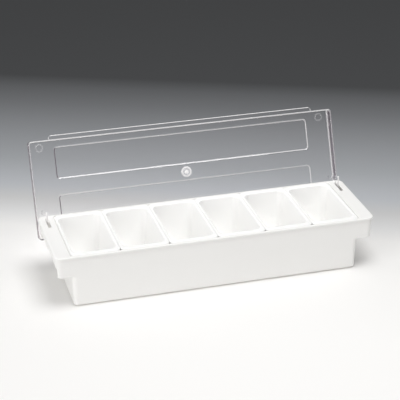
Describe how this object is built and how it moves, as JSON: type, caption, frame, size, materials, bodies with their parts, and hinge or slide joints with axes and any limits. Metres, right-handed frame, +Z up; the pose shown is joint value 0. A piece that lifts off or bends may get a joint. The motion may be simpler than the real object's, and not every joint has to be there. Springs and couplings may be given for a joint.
{
  "type": "bar garnish tray",
  "caption": "Long white tray holding a row of lift-out pans, with hollow end grips and a clear lid that swings up on hooked arms.",
  "frame": {"origin": "middle of the tray's underside, on the surface that it stands on", "axes": "+X along the tray to the user's right, +Y from the user to the hinge side, +Z up"},
  "size_m": [0.5, 0.213, 0.1926],
  "materials": {
    "tray_white": "satin moulded",
    "pan_white": "satin moulded",
    "lid_clear": "clear polished"
  },
  "bodies": {
    "tray": {"base_tray": "tray_white"},
    "lid": {"lid": "lid_clear"},
    "pan_1": {"pan_1": "pan_white"},
    "pan_2": {"pan_2": "pan_white"},
    "pan_3": {"pan_3": "pan_white"},
    "pan_4": {"pan_4": "pan_white"},
    "pan_5": {"pan_5": "pan_white"},
    "pan_6": {"pan_6": "pan_white"}
  },
  "joints": [
    {"name": "lid_hinge", "type": "hinge", "parent": "tray", "child": "lid", "pos_m": [0, 0.0606, 0.0698], "axis": [-1, 0, 0], "range_deg": [-112.3, 0]},
    {"name": "pan_1_lift", "type": "slide", "parent": "tray", "child": "pan_1", "axis": [0, 0, 1], "range_m": [0, 0.1]},
    {"name": "pan_2_lift", "type": "slide", "parent": "tray", "child": "pan_2", "axis": [0, 0, 1], "range_m": [0, 0.1]},
    {"name": "pan_3_lift", "type": "slide", "parent": "tray", "child": "pan_3", "axis": [0, 0, 1], "range_m": [0, 0.1]},
    {"name": "pan_4_lift", "type": "slide", "parent": "tray", "child": "pan_4", "axis": [0, 0, 1], "range_m": [0, 0.1]},
    {"name": "pan_5_lift", "type": "slide", "parent": "tray", "child": "pan_5", "axis": [0, 0, 1], "range_m": [0, 0.1]},
    {"name": "pan_6_lift", "type": "slide", "parent": "tray", "child": "pan_6", "axis": [0, 0, 1], "range_m": [0, 0.1]}
  ]
}
